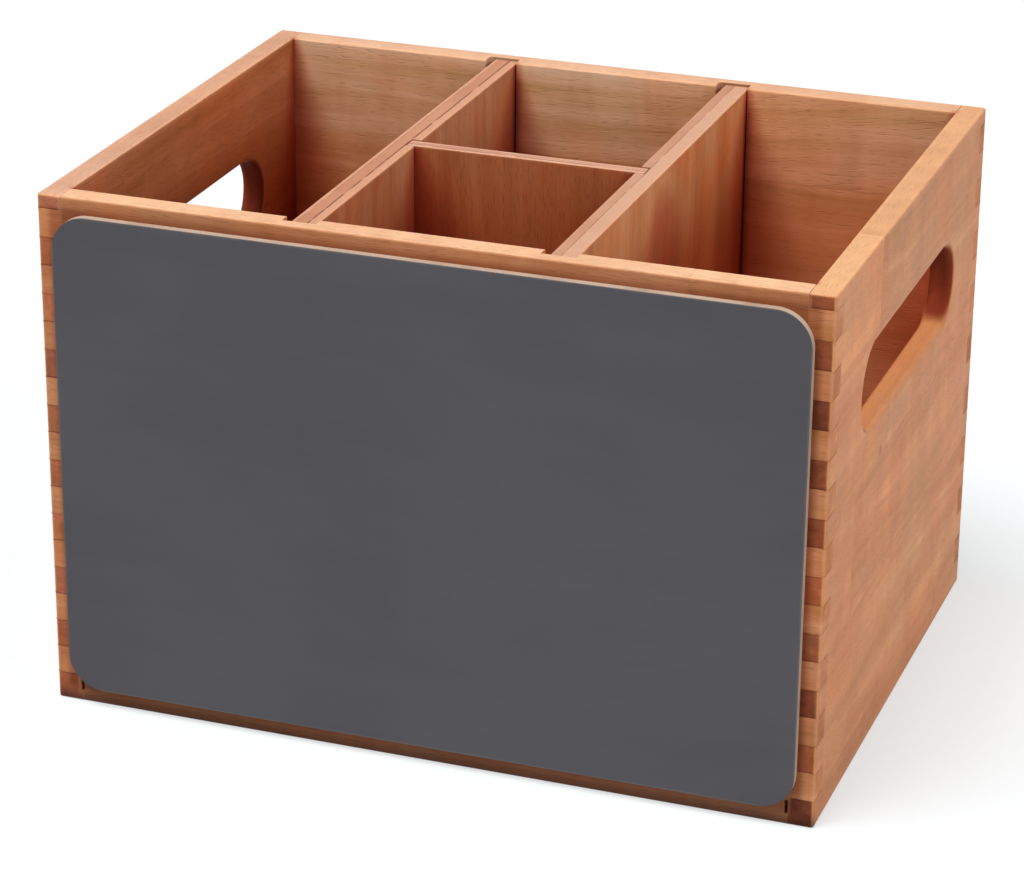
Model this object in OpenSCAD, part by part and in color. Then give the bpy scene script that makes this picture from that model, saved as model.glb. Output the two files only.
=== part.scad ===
// Open-top utensil caddy: a finger-jointed hardwood box with a handle hole in
// each side, three loose dividers that make four bays, and a writing panel on
// the front. +X is to the right, +Y to the back, +Z up. The origin is the
// middle of the footprint, on the surface that the caddy stands on.

/* [Box] */
// Outside width of the box, left to right
box_w = 261; // [230:1:320]
// Outside depth of the box, front to back, without the writing panel
box_d = 197; // [170:1:240]
// Thickness of the four wall boards
board_t = 8.5; // [7.5:0.5:11]
// Rounding of the four upright outer edges
edge_round = 1.2; // [0.6:0.2:2]

/* [Corner joints] */
// Height of one finger
finger_h = 9.6; // [8.6:0.1:11]
// Fingers of each board in a corner, above which stands half a finger of the side board
finger_pairs = 9; // [8:1:11]
// Width of the slit beside the lowest finger, where the groove for the bottom runs out
run_out_w = 1.1; // [0.6:0.1:2]

/* [Bottom] */
// Thickness of the plywood bottom
bottom_t = 4.8; // [3:0.2:6]
// Height of the bottom's underside above the lower edge of the boards
bottom_rise = 3.8; // [2:0.2:4]
// Depth of the groove that holds the bottom
groove_d = 4.2; // [3:0.2:5]
// Gap between the bottom's edge and the end of its groove
groove_gap = 0.3; // [0.1:0.1:0.5]

/* [Handle holes] */
// Length of a handle hole, front to back
hole_l = 119; // [90:1:125]
// Height of a handle hole
hole_h = 28; // [22:1:34]
// Depth of a handle hole's centre line below the rim
hole_drop = 48; // [36:1:60]
// Round-over of a handle hole's edges, on both faces of the board
hole_round = 2.8; // [1:0.2:3.4]

/* [Long dividers] */
// Thickness of the two dividers that run front to back
divider_t = 8.6; // [6:0.2:9.6]
// Width of the upright slots that the long dividers drop into
slot_w = 11.2; // [10.4:0.2:13]
// Depth of those slots, in the inner faces of the front and back boards
slot_d = 4.2; // [3:0.2:5]
// Distance of a slot's middle from the middle of the box
slot_x = 42.5; // [36:0.1:50]
// How far the dividers' tops lie below the rim
top_drop = 0.8; // [0:0.1:3]

/* [Cross divider] */
// Thickness of the divider across the middle bay
cross_t = 5; // [3:0.2:6]
// Distance of its front face from the box's front face
cross_from_front = 90; // [70:0.5:110]
// Width of the grooves that it drops into, in the long dividers
cross_slot_w = 7; // [6.8:0.2:9]
// Depth of those grooves, down to the glue line between the plies
cross_slot_d = 3.2; // [2:0.2:4]

/* [Writing panel] */
// Thickness of the panel's pale core board
core_t = 2.6; // [2:0.1:4]
// Thickness of the dark writing sheet on it
sheet_t = 0.4; // [0.3:0.1:0.8]
// Width of wood left bare at the panel's left and right
panel_side_margin = 6; // [4:0.5:20]
// Width of wood left bare above the panel
panel_top_margin = 5.4; // [4:0.2:20]
// Width of wood left bare below the panel
panel_low_margin = 6.4; // [4:0.2:20]
// Radius of the panel's corners
panel_round = 12; // [4:1:20]

/* [Hidden] */

WOOD = "#b06a3f";
SIDE_WOOD = "#bd7a4c";
PLY = "#a8623a";
PALE_CORE = "#d9b9a4";
SLATE = "#514e54";

panel_t = core_t + sheet_t;
box_h = (2 * finger_pairs + 0.5) * finger_h;
inner_w = box_w - 2 * board_t;
inner_d = box_d - 2 * board_t;
floor_z = bottom_rise + bottom_t;

// Running gap between a divider and the slot wall that it stands against
fit = 0.3;
// How far a cutter reaches past the face that it opens
reach = 1;

divider_h = box_h - top_drop - floor_z;
divider_l = inner_d + 2 * (slot_d - fit);
// A long divider stands against the right wall of its slot
divider_shift = slot_w / 2 - fit - divider_t / 2;
left_divider_x = divider_shift - slot_x;
right_divider_x = divider_shift + slot_x;

// The cross divider stands against the front wall of its grooves
cross_y = cross_from_front + cross_t / 2 - box_d / 2;
cross_slot_y = cross_y - cross_t / 2 - fit + cross_slot_w / 2;
cross_l = 2 * slot_x - divider_t + 2 * (cross_slot_d - fit);

panel_w = box_w - 2 * panel_side_margin;
panel_h = box_h - panel_top_margin - panel_low_margin;

// The box stands behind the panel, so that the whole depth is centred on the origin
module in_box() {
    translate([0, panel_t / 2, 0]) children();
}

// Copies of a shape at both ends of the X axis
module both_sides() {
    children();
    mirror([1, 0, 0]) children();
}

// A rectangle with round corners, in the XY plane, centred
module round_plate(w, h, r) {
    square([w - 2 * r, h], center = true);
    square([w, h - 2 * r], center = true);
    for (x = [-1, 1], y = [-1, 1])
        translate([x * (w / 2 - r), y * (h / 2 - r)]) circle(r = r, $fn = 64);
}

// The box's outer form, which rounds the upright corners of every board
module box_envelope() {
    linear_extrude(box_h) round_plate(box_w, box_d, edge_round);
}

// The heights of a corner that belong to one board, counted up from the lowest
// finger: first = 0 gives the side boards' fingers, 1 the front and back boards'
module finger_rows(first) {
    for (row = [first : 2 : 2 * finger_pairs])
        translate([0, 0, row * finger_h]) children();
}

// One end's sockets in a front or back board, for the side board's fingers
module end_board_sockets() {
    finger_rows(0)
        translate([inner_w / 2, -reach, 0])
            cube([board_t + reach, board_t + 2 * reach, finger_h]);
    // slit where the groove for the bottom runs out beside the lowest finger
    translate([inner_w / 2 - run_out_w, -reach, bottom_rise])
        cube([run_out_w + reach, board_t + 2 * reach, bottom_t]);
}

// A front or back board lying at y = 0 to board_t, with its inner face at board_t
module end_board() {
    difference() {
        translate([-box_w / 2, 0, 0]) cube([box_w, board_t, box_h]);
        both_sides() end_board_sockets();
        // groove for the bottom
        translate([-inner_w / 2 - reach, board_t - groove_d, bottom_rise])
            cube([inner_w + 2 * reach, groove_d + reach, bottom_t]);
        // upright slots for the long dividers, open at the rim
        for (x = [-slot_x, slot_x])
            translate([x - slot_w / 2, board_t - slot_d, floor_z - reach])
                cube([slot_w, slot_d + reach, box_h]);
    }
}

module front_board() {
    color(WOOD) in_box() intersection() {
        translate([0, -box_d / 2, 0]) end_board();
        box_envelope();
    }
}

module back_board() {
    color(WOOD) in_box() intersection() {
        mirror([0, 1, 0]) translate([0, -box_d / 2, 0]) end_board();
        box_envelope();
    }
}

// Half of the handle hole's section: distance from the centre line along X,
// depth through the board along Y, flared to a round-over at both faces
module hole_profile() {
    translate([0, -reach]) square([hole_h / 2, board_t + 2 * reach]);
    for (face = [0, 1])
        translate([0, face * board_t]) mirror([0, face])
            difference() {
                translate([0, -reach]) square([hole_h / 2 + hole_round, hole_round + reach]);
                translate([hole_h / 2 + hole_round, hole_round]) circle(r = hole_round, $fn = 64);
            }
}

// The handle hole as a cutter: two half-round ends and the straight between them
module handle_hole() {
    straight = hole_l - hole_h;
    rotate([0, 90, 0]) {
        for (end = [0, 1])
            rotate([0, 0, end * 180]) translate([0, straight / 2, 0])
                rotate_extrude(angle = 180, $fn = 64) hole_profile();
        rotate([90, 0, 0]) linear_extrude(straight, center = true) {
            hole_profile();
            mirror([1, 0]) hole_profile();
        }
    }
}

// The right side board: fingers front and back, handle hole, groove for the bottom
module side_board() {
    difference() {
        translate([inner_w / 2, -box_d / 2, 0]) cube([board_t, box_d, box_h]);
        for (end = [0, 1])
            mirror([0, end, 0]) finger_rows(1)
                translate([inner_w / 2 - reach, inner_d / 2, 0])
                    cube([board_t + 2 * reach, board_t + reach, finger_h]);
        translate([inner_w / 2, 0, box_h - hole_drop]) handle_hole();
        // this groove stops short of the ends, so it doesn't show outside
        translate([inner_w / 2 - reach, -inner_d / 2 - groove_d, bottom_rise])
            cube([groove_d + reach, inner_d + 2 * groove_d, bottom_t]);
    }
}

module right_side_board() {
    color(SIDE_WOOD) in_box() intersection() {
        side_board();
        box_envelope();
    }
}

module left_side_board() {
    color(SIDE_WOOD) in_box() intersection() {
        mirror([1, 0, 0]) side_board();
        box_envelope();
    }
}

module bottom_panel() {
    margin = 2 * (groove_d - groove_gap);
    color(PLY) in_box()
        translate([-(inner_w + margin) / 2, -(inner_d + margin) / 2, bottom_rise])
            cube([inner_w + margin, inner_d + margin, bottom_t]);
}

// A long divider with its middle at x = 0 and the cross divider's groove in its right face
module long_divider() {
    difference() {
        translate([-divider_t / 2, -divider_l / 2, floor_z])
            cube([divider_t, divider_l, divider_h]);
        translate([divider_t / 2 - cross_slot_d, cross_slot_y - cross_slot_w / 2, floor_z - reach])
            cube([cross_slot_d + reach, cross_slot_w, divider_h + 2 * reach]);
    }
}

module left_divider() {
    color(PLY) in_box() translate([left_divider_x, 0, 0]) long_divider();
}

module right_divider() {
    color(PLY) in_box() translate([right_divider_x, 0, 0]) mirror([1, 0, 0]) long_divider();
}

module cross_divider() {
    color(PLY) in_box()
        translate([divider_shift - cross_l / 2, cross_y - cross_t / 2, floor_z])
            cube([cross_l, cross_t, divider_h]);
}

// A layer of the writing panel, standing on the front board's face
module panel_layer(from_board, thickness) {
    in_box()
        translate([0, -box_d / 2 - from_board, panel_low_margin + panel_h / 2])
            rotate([90, 0, 0]) linear_extrude(thickness)
                round_plate(panel_w, panel_h, panel_round);
}

module panel_core() {
    color(PALE_CORE) panel_layer(0, core_t);
}

module panel_writing_sheet() {
    color(SLATE) panel_layer(core_t, sheet_t);
}

front_board();
back_board();
left_side_board();
right_side_board();
bottom_panel();
left_divider();
right_divider();
cross_divider();
panel_core();
panel_writing_sheet();
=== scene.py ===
# %% [markdown]
# # A utensil caddy in oiled hardwood
# The real object is an open box of four finger-jointed boards. Each side has a
# handle hole, three loose plywood dividers make four bays, and a dark writing
# panel is glued to the front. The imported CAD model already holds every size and
# place. This lesson dresses it: each board is modelled again with eased edges,
# and gets a wood material whose grain runs the way its own board was sawn.

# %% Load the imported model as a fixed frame
import math

import bmesh
import bpy
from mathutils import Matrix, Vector


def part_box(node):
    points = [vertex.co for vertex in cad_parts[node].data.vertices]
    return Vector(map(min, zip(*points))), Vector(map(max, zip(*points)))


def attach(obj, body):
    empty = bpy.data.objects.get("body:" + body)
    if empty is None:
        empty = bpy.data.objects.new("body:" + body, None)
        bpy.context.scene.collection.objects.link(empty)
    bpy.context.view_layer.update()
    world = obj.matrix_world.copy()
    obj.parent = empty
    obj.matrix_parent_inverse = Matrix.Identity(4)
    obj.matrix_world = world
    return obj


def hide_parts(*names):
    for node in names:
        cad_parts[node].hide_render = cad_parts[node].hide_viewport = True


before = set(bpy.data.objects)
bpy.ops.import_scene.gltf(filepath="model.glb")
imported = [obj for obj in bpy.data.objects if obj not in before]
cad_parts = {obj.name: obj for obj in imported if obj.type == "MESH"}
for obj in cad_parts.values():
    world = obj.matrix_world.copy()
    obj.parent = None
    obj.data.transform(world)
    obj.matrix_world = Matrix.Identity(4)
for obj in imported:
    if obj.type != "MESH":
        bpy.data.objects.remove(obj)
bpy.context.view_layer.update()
MM = 0.001

# %% [markdown]
# ## Sizes
# The boards' boxes give every size that the wood needs: how thick a board is,
# where the inner faces stand, and how high one finger of a corner joint is. The
# corner has nine fingers of each board and half a finger at the rim.

# %% Sizes read from the frame
side_low, side_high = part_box("right_side_board")
front_low, front_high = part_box("front_board")
bottom_low, bottom_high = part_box("bottom_panel")
BOARD_T = side_high.x - side_low.x
BOX_LOW = Vector((front_low.x, side_low.y, front_low.z))
BOX_HIGH = Vector((front_high.x, side_high.y, front_high.z))
BOX_MIDDLE_Y = (BOX_LOW.y + BOX_HIGH.y) / 2
IN_LOW = BOX_LOW + Vector((BOARD_T, BOARD_T, 0))
IN_HIGH = BOX_HIGH - Vector((BOARD_T, BOARD_T, 0))
ROWS = 18.5
FINGER_H = (BOX_HIGH.z - BOX_LOW.z) / ROWS
print("finger height", round(FINGER_H / MM, 3), "mm, board thickness", round(BOARD_T / MM, 3), "mm")

# %% [markdown]
# ## The camera
# A long lens from about a metre away keeps the box's edges nearly parallel, as
# in a catalogue picture. The place and turn come from matching the box's seven
# visible corners, and the lens has no shift, so other views stay centred too.

# %% Put the camera at the photograph's angle
CAMERA_PLACE = Vector((0.3704, -1.0596, 0.5456))
CAMERA_TURN_DEG = (67.24, -0.46, 19.69)
LENS_MM = 126.2
SENSOR_MM = 36.0
NEAREST_SEEN = 0.01

camera_turn = [math.radians(angle) for angle in CAMERA_TURN_DEG]
bpy.ops.object.camera_add(location=CAMERA_PLACE, rotation=camera_turn)
camera = bpy.context.active_object
camera.name = "catalogue_camera"
camera.data.lens = LENS_MM
camera.data.sensor_width = SENSOR_MM
camera.data.clip_start = NEAREST_SEEN
bpy.context.scene.camera = camera
print("camera stands", round(CAMERA_PLACE.length, 3), "m from the origin")

# %% [markdown]
# ## Small helpers for materials
# A node material is a graph. The first helper feeds a socket with a number or a
# wire, and the second adds a node. The others return what comes out of one, so
# that code reads like arithmetic.

# %% Numbers and vectors
def feed(socket, value):
    """Wires an output into the socket, or sets the socket to a plain value."""
    if isinstance(value, bpy.types.NodeSocket):
        socket.id_data.links.new(value, socket)
    else:
        socket.default_value = value


def add_node(kind, *values, inputs=None, **settings):
    """Adds a node to its values' tree, and feeds them to the named inputs, or else in order."""
    tree = next(value.id_data for value in values if isinstance(value, bpy.types.NodeSocket))
    node = tree.nodes.new("ShaderNode" + kind)
    for name, setting in settings.items():
        setattr(node, name, setting)
    sockets = [node.inputs[key] for key in inputs] if inputs else node.inputs
    for socket, value in zip(sockets, values):
        feed(socket, value)
    return node


def maths(operation, *values):
    """One Math node."""
    return add_node("Math", *values, operation=operation).outputs[0]


def times(first, second):
    """The product of two numbers, which for two masks is where both hold."""
    return maths("MULTIPLY", first, second)


def plus(first, second):
    """The sum of two numbers."""
    return maths("ADD", first, second)


def minus(first, second):
    """The difference of two numbers."""
    return maths("SUBTRACT", first, second)


def opposite(mask):
    """1 where the mask is 0, and 0 where it is 1."""
    return minus(1.0, mask)


def vector_maths(operation, *values):
    """One Vector Math node, which gives a number for a dot product or a length."""
    node = add_node("VectorMath", *values, operation=operation)
    return node.outputs["Value" if operation in ("DOT_PRODUCT", "LENGTH") else "Vector"]


def split_xyz(vector):
    """The X, Y and Z of a vector, as three outputs."""
    return add_node("SeparateXYZ", vector).outputs


def join_xyz(*parts):
    """A vector made of three numbers or outputs."""
    return add_node("CombineXYZ", *parts).outputs[0]


def ramp(value, low, high, kind="SMOOTHSTEP"):
    """Turns the stretch from low to high into 0 to 1, and holds it there."""
    return add_node("MapRange", value, low, high, interpolation_type=kind).outputs["Result"]

# %% Noise
def noise(vector, scale, detail=2.0, roughness=0.5, distortion=0.0):
    """The grey of a Noise Texture, which three scales instead of one stretch along X, Y and Z."""
    if isinstance(scale, tuple):
        vector = vector_maths("MULTIPLY", vector, scale)
        scale = 1.0
    names = ["Vector", "Scale", "Detail", "Roughness", "Distortion"]
    return add_node("TexNoise", vector, scale, detail, roughness, distortion, inputs=names).outputs["Fac"]


def white_noise(dimensions, value):
    """The outputs of a White Noise node, which gives every value its own random one."""
    names = ["W" if dimensions == "1D" else "Vector"]
    return add_node("TexWhiteNoise", value, inputs=names, noise_dimensions=dimensions).outputs

# %% Colours
def rgb(red, green, blue):
    """A linear colour with its alpha."""
    return (red, green, blue, 1.0)


PLAIN = rgb(1.0, 1.0, 1.0)
MIX_COLOURS = [0, 6, 7]


def colour_node(mode, mask, first, second):
    """One Mix node. Its sockets 6 and 7 are the two colours, and its output 2 is their mix."""
    return add_node("Mix", mask, first, second, inputs=MIX_COLOURS, data_type="RGBA",
                    blend_type=mode, clamp_factor=True).outputs[2]


def blend(mask, first, second):
    """The first colour where the mask is 0, and the second where it is 1."""
    return colour_node("MIX", mask, first, second)


def tinted(colour, mask, tint):
    """A colour multiplied by the tint where the mask is 1."""
    return colour_node("MULTIPLY", mask, colour, tint)


def varied(colour, value, tints, mask=1.0):
    """A colour multiplied by the first tint where value is 0, and by the second where it is 1."""
    return tinted(colour, mask, blend(value, *tints))

# %% Node groups
def new_group(name, vectors, numbers, results):
    """A shader node group. Returns it, the outputs of its entry and the inputs of its exit."""
    tree = bpy.data.node_groups.new(name, "ShaderNodeTree")
    kinds = ((vectors, "INPUT", "Vector"), (numbers, "INPUT", "Float"), (results, "OUTPUT", "Float"))
    for sockets, way, kind in kinds:
        for socket in sockets:
            tree.interface.new_socket(socket, in_out=way, socket_type="NodeSocket" + kind)
    entry = tree.nodes.new("NodeGroupInput")
    leave = tree.nodes.new("NodeGroupOutput")
    print("group", name, "gives", *results)
    return tree, entry.outputs, leave.inputs


def place_group(group, **inputs):
    """Puts a group into a material and feeds its inputs by name, with _ for a space."""
    names = [name.replace("_", " ") for name in inputs]
    return add_node("Group", *inputs.values(), inputs=names, node_tree=group).outputs

# %% [markdown]
# ## Wood fibres
# Sawn hardwood shows four things at once: broad bands of darker and paler wood,
# fine streaks a millimetre wide, short dark pores, and a soft mottle where
# the fibres wave. All four are noise that is stretched along or across the
# grain. The pattern is solid, so that a cut end shows the same fibres end on.
# Places come in as along, across and through the board, in metres, so the
# scales below count features per metre.

# %% Group: fibres
WANDER = (7.0, 26.0, 26.0)
BANDS = (4.0, 75.0, 75.0)
STREAKS = (10.0, 620.0, 620.0)
HAIRS = (45.0, 2400.0, 2400.0)
PORES = (260.0, 3000.0, 3000.0)
WAVES = (62.0, 21.0, 21.0)
SEED_STEP = (1.7, 0.31, 0.47)
SWING_ACROSS, SWING_THROUGH = 16 * MM, 9 * MM
STREAK_SHARE = 0.65
PORE_DEPTH = 0.6

FIBRES, given, out = new_group("fibres", ["Grain Place"], ["Seed"],
                               ["Figure", "Streak", "Mottle", "Pore", "Height"])
shift = add_node("VectorMath", SEED_STEP, given["Seed"], inputs=["Vector", "Scale"], operation="SCALE")
place = vector_maths("ADD", given["Grain Place"], shift.outputs["Vector"])

# the fibres wander a little from a straight line
wander = minus(noise(place, WANDER, detail=1.0), 0.5)
swing = join_xyz(0.0, times(wander, SWING_ACROSS), times(wander, SWING_THROUGH))
bent = vector_maths("ADD", place, swing)

figure = noise(bent, BANDS, detail=3.0, roughness=0.6, distortion=0.5)
streak = noise(bent, STREAKS, roughness=0.65)
hair = noise(bent, HAIRS, detail=1.0)
pore = ramp(noise(bent, PORES, detail=0.0), 0.63, 0.74)
mottle = noise(bent, WAVES, roughness=0.6, distortion=0.4)
both = plus(times(streak, STREAK_SHARE), times(hair, 1 - STREAK_SHARE))

feed(out["Figure"], ramp(figure, 0.28, 0.72, "LINEAR"))
feed(out["Streak"], ramp(both, 0.3, 0.7, "LINEAR"))
feed(out["Mottle"], ramp(mottle, 0.3, 0.7))
feed(out["Pore"], pore)
feed(out["Height"], minus(times(both, 0.5), times(pore, PORE_DEPTH)))

# %% [markdown]
# ## Glued-up staves
# Boards like these are glued up from narrow staves, each from another tree, so
# the tone jumps at every glue line. A stave is a cell in a brick-like layout:
# the row says which strip it is, a random shift moves each row along, and
# White Noise gives every cell its own tone.

# %% Group: staves
ROW_SHIFT = 7.0
GLUE_FULL, GLUE_GONE = 0.05 * MM, 0.35 * MM


def to_border(cells, length):
    """The distance to the nearest border in a row of cells that are all that long."""
    part = maths("FRACT", cells)
    return times(maths("MINIMUM", part, opposite(part)), length)


STAVES, given, out = new_group("staves", ["Grain Place"], ["Stave Width", "Stave Length", "Seed"],
                               ["Tone", "Warmth", "Glue Line"])
along, across, _ = split_xyz(given["Grain Place"])
strips = plus(maths("DIVIDE", across, given["Stave Width"]), given["Seed"])
row = maths("FLOOR", strips)
row_random = white_noise("1D", plus(row, given["Seed"]))["Value"]
bricks = plus(maths("DIVIDE", along, given["Stave Length"]), times(row_random, ROW_SHIFT))
brick = join_xyz(maths("FLOOR", bricks), row, given["Seed"])
randoms = add_node("SeparateColor", white_noise("3D", brick)["Color"]).outputs
to_side = to_border(strips, given["Stave Width"])
to_glue = maths("MINIMUM", to_side, to_border(bricks, given["Stave Length"]))
feed(out["Tone"], randoms[0])
feed(out["Warmth"], randoms[1])
feed(out["Glue Line"], opposite(ramp(to_glue, GLUE_FULL, GLUE_GONE)))

# %% [markdown]
# ## Worn edges with a painted highlight
# Handling rubs the oil off an edge first. On the wood the paler edge also paints
# the highlight that a rounded edge catches, so it is partly worn and partly a
# painted highlight. On a board that fills a box, the distance from a point to the
# nearest edge has a short formula: take the distances to the nearest face along
# X, Y and Z, and the middle one of the three is the distance to the edge, because
# on a surface the smallest is zero.

# %% Group: edge wear and painted highlight
EDGE_WEAR_AND_HIGHLIGHT, given, out = new_group("edge_wear_and_highlight", ["Place", "Low", "High"], ["Reach"], ["Wear"])
from_low = vector_maths("SUBTRACT", given["Place"], given["Low"])
from_high = vector_maths("SUBTRACT", given["High"], given["Place"])
x, y, z = split_xyz(vector_maths("MINIMUM", from_low, from_high))
smaller = maths("MINIMUM", x, y)
larger = maths("MAXIMUM", x, y)
middle = maths("MAXIMUM", smaller, maths("MINIMUM", larger, z))
patchy = noise(given["Place"], 95.0, detail=3.0, roughness=0.65)
reach = times(given["Reach"], times(patchy, 2.0))
feed(out["Wear"], opposite(ramp(middle, 0.0, reach)))


def wear_and_highlight_of(place, low, high, reach, share):
    """How much of its paler edge colour, worn and on the wood also a painted highlight, a place has, on a
    piece that fills the box from low to high.
    """
    pale_edge = place_group(EDGE_WEAR_AND_HIGHLIGHT, Place=place, Low=low, High=high, Reach=reach)["Wear"]
    return times(pale_edge, share)

# %% [markdown]
# ## Which way a surface looks
# Where a board is cut across, the open pores drink the oil and the wood turns
# darker, which draws the dark squares down the corner joints. The rims, which look
# up, get a paler colour: a painted highlight of the light from above. The group
# compares a surface's direction with an axis: 1 means that it looks along it,
# either way.

# %% Group: facing
AXES = {"X": (1.0, 0.0, 0.0), "Y": (0.0, 1.0, 0.0), "Z": (0.0, 0.0, 1.0)}

FACING, given, out = new_group("facing", ["Direction", "Axis"], [], ["Facing"])
feed(out["Facing"], maths("ABSOLUTE", vector_maths("DOT_PRODUCT", given["Direction"], given["Axis"])))


def facing(direction, axis, low, high):
    """How squarely a surface looks along X, Y or Z: 0 at the low share of it and 1 at the high one."""
    return ramp(place_group(FACING, Direction=direction, Axis=AXES[axis])["Facing"], low, high)

# %% [markdown]
# ## Nearness to a box
# Painted shade gathers in an inside corner, in a slot, beside a glued panel and
# along the front bottom edge, and the bays get redder and darker with depth, also
# as painted shade. Hands polish the handle hole, and painted shade darkens its round
# ends. Each of these fades with the distance to a simple box: a neighbour, a line
# through the hole, or the lower part of the inside. That distance is the length of
# the part of a point that sticks out past the box's corners.

# %% Group: nearness
def past_box(place, low, high):
    """How far a place lies past a box, along X, Y and Z, with less than 0 for within it."""
    below = vector_maths("SUBTRACT", low, place)
    return vector_maths("MAXIMUM", below, vector_maths("SUBTRACT", place, high))


NEARNESS, given, out = new_group("nearness", ["Place", "Low", "High"],
                                 ["Full Within", "Gone Beyond"], ["Near"])
past = past_box(given["Place"], given["Low"], given["High"])
distance = vector_maths("LENGTH", vector_maths("MAXIMUM", past, (0.0, 0.0, 0.0)))
feed(out["Near"], opposite(ramp(distance, given["Full Within"], given["Gone Beyond"])))


def near(place, low, high, full_within, gone_beyond):
    """How near a place is to a box: 1 within the first distance and 0 beyond the second."""
    return place_group(NEARNESS, Place=place, Low=low, High=high, Full_Within=full_within,
                       Gone_Beyond=gone_beyond)["Near"]

# %% [markdown]
# ## Uneven fingers
# No two fingers took the oil alike, and none took it evenly. White Noise gives
# each finger of each corner its own tone, and a finer noise adds the rings of
# the end grain. Round each finger runs a thin seam, where glue and dust darken
# the joint. The corner mask keeps all of this within the joint: it is 1 where a
# point lies past the inner box both along X and along Y.

# %% Group: fingers
RINGS = (240.0, 240.0, 420.0)
OWN_SHARE = 0.35
SEAM_LEAST, SEAM_MORE = 0.20 * MM, 0.90 * MM

FINGERS, given, out = new_group("fingers", ["Place", "Low", "High"], ["Finger Height"],
                                ["Tone", "Seam", "Corner"])
x, y, z = split_xyz(given["Place"])
rows = maths("DIVIDE", z, given["Finger Height"])
finger = join_xyz(maths("GREATER_THAN", x, 0.0), maths("SIGN", y), maths("FLOOR", rows))
own = times(white_noise("3D", finger)["Value"], OWN_SHARE)
rings = noise(given["Place"], RINGS, detail=4.0, roughness=0.65)
tone = plus(own, times(rings, 1 - OWN_SHARE))
feed(out["Tone"], ramp(tone, 0.28, 0.72, "LINEAR"))

past_x, past_y, _ = split_xyz(past_box(given["Place"], given["Low"], given["High"]))
past_both = maths("MINIMUM", past_x, past_y)
in_corner = ramp(past_both, -0.3 * MM, 0.0)
to_seam = maths("MINIMUM", to_border(rows, given["Finger Height"]), maths("ABSOLUTE", past_both))
ragged = times(noise(given["Place"], 420.0), SEAM_MORE)
seam = opposite(ramp(to_seam, 0.0, plus(SEAM_LEAST, ragged)))
feed(out["Seam"], times(seam, in_corner))
feed(out["Corner"], in_corner)

# %% [markdown]
# ## Painted shade that follows the neighbours
# Inside the bays, shade falls where two pieces meet, and it is painted into the
# colour. So a face gets red-brown painted shade along each neighbour, from a thin
# line at the rim to a wide one in the depth, and a darker painted shadow in the gap
# where a loose divider stands in its slot.

# %% Painted shade inside the bays
SHADE_AT_RIM = 3 * MM
SHADE_GROWS = 80 * MM
DEEP_TOP = 125 * MM
DEEP_FADE = 50 * MM
GAP_REACH = 3.4 * MM
GAP_STARTS, GAP_FULL = 2 * MM, 14 * MM
# painted shade: red-brown along inside corners, darker in the gap beside a loose divider, and redder and
# darker lower in the bays
CORNER_SHADE = rgb(0.68, 0.34, 0.30)
GAP_SHADOW = rgb(0.50, 0.38, 0.44)
DEPTH_SHADE = rgb(0.80, 0.55, 0.41)


def nearest_of(place, nodes, gone_beyond):
    """How near a place is to the nearest of some nodes."""
    nearest = None
    for node in nodes:
        closeness = near(place, *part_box(node), 0.0, gone_beyond)
        nearest = closeness if nearest is None else maths("MAXIMUM", nearest, closeness)
    return nearest


def shade_inside(place, colour, mask, widest, neighbours, loose):
    """Paints shade into a colour in the bays, where mask is 1: redder and darker with depth, and beside
    the neighbours.
    """
    below_rim = minus(BOX_HIGH.z, split_xyz(place)["Z"])
    grown = ramp(below_rim, 0.0, SHADE_GROWS, "LINEAR")
    spread = plus(SHADE_AT_RIM, times(grown, widest))
    # painted shade that grows with depth in the bays
    deep_high = Vector((IN_HIGH.x, IN_HIGH.y, DEEP_TOP))
    depth_shade = times(mask, near(place, IN_LOW, deep_high, 0.0, DEEP_FADE))
    colour = tinted(colour, depth_shade, DEPTH_SHADE)
    # painted shade along each neighbour, wider further down
    corner = times(mask, nearest_of(place, neighbours, spread))
    colour = tinted(colour, corner, CORNER_SHADE)
    if loose:
        # painted shadow in the gap beside a loose divider
        gap_shadow = times(mask, nearest_of(place, loose, GAP_REACH))
        gap_shadow = times(gap_shadow, ramp(below_rim, GAP_STARTS, GAP_FULL))
        colour = tinted(colour, gap_shadow, GAP_SHADOW)
    return colour

# %% Frame of a material
def new_material(name):
    """A node material. Returns it, its Principled shader, and a point's place and direction."""
    material = bpy.data.materials.new(name)
    material.use_nodes = True
    nodes = material.node_tree.nodes
    shader = next(node for node in nodes if node.type == "BSDF_PRINCIPLED")
    coordinates = nodes.new("ShaderNodeTexCoord").outputs
    return material, shader, coordinates["Object"], coordinates["Normal"]


def grain_place(place, order):
    """Reorders X, Y and Z to along, across and through the board, as in order="XZY"."""
    parts = split_xyz(place)
    return join_xyz(*(parts[axis] for axis in order))


def finish_shader(shader, colour, roughness, height, specular, depth):
    """Feeds colour, roughness and, by a Bump node, a relief of that depth."""
    feed(shader.inputs["Base Color"], colour)
    feed(shader.inputs["Roughness"], roughness)
    shader.inputs["Specular IOR Level"].default_value = specular
    bump = add_node("Bump", 1.0, depth, height, inputs=["Strength", "Distance", "Height"])
    feed(shader.inputs["Normal"], bump.outputs[0])

# %% [markdown]
# ## Hardwood
# One function makes the material of every solid board. It asks the groups for
# masks, and lays colour in this order: figure and stave, streaks and pores, oil in
# the end grain, painted shade in the corners and recesses, then worn edges that also
# paint a highlight. A pair of tints says what a mask of 0 and a mask of 1 look like.

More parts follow.
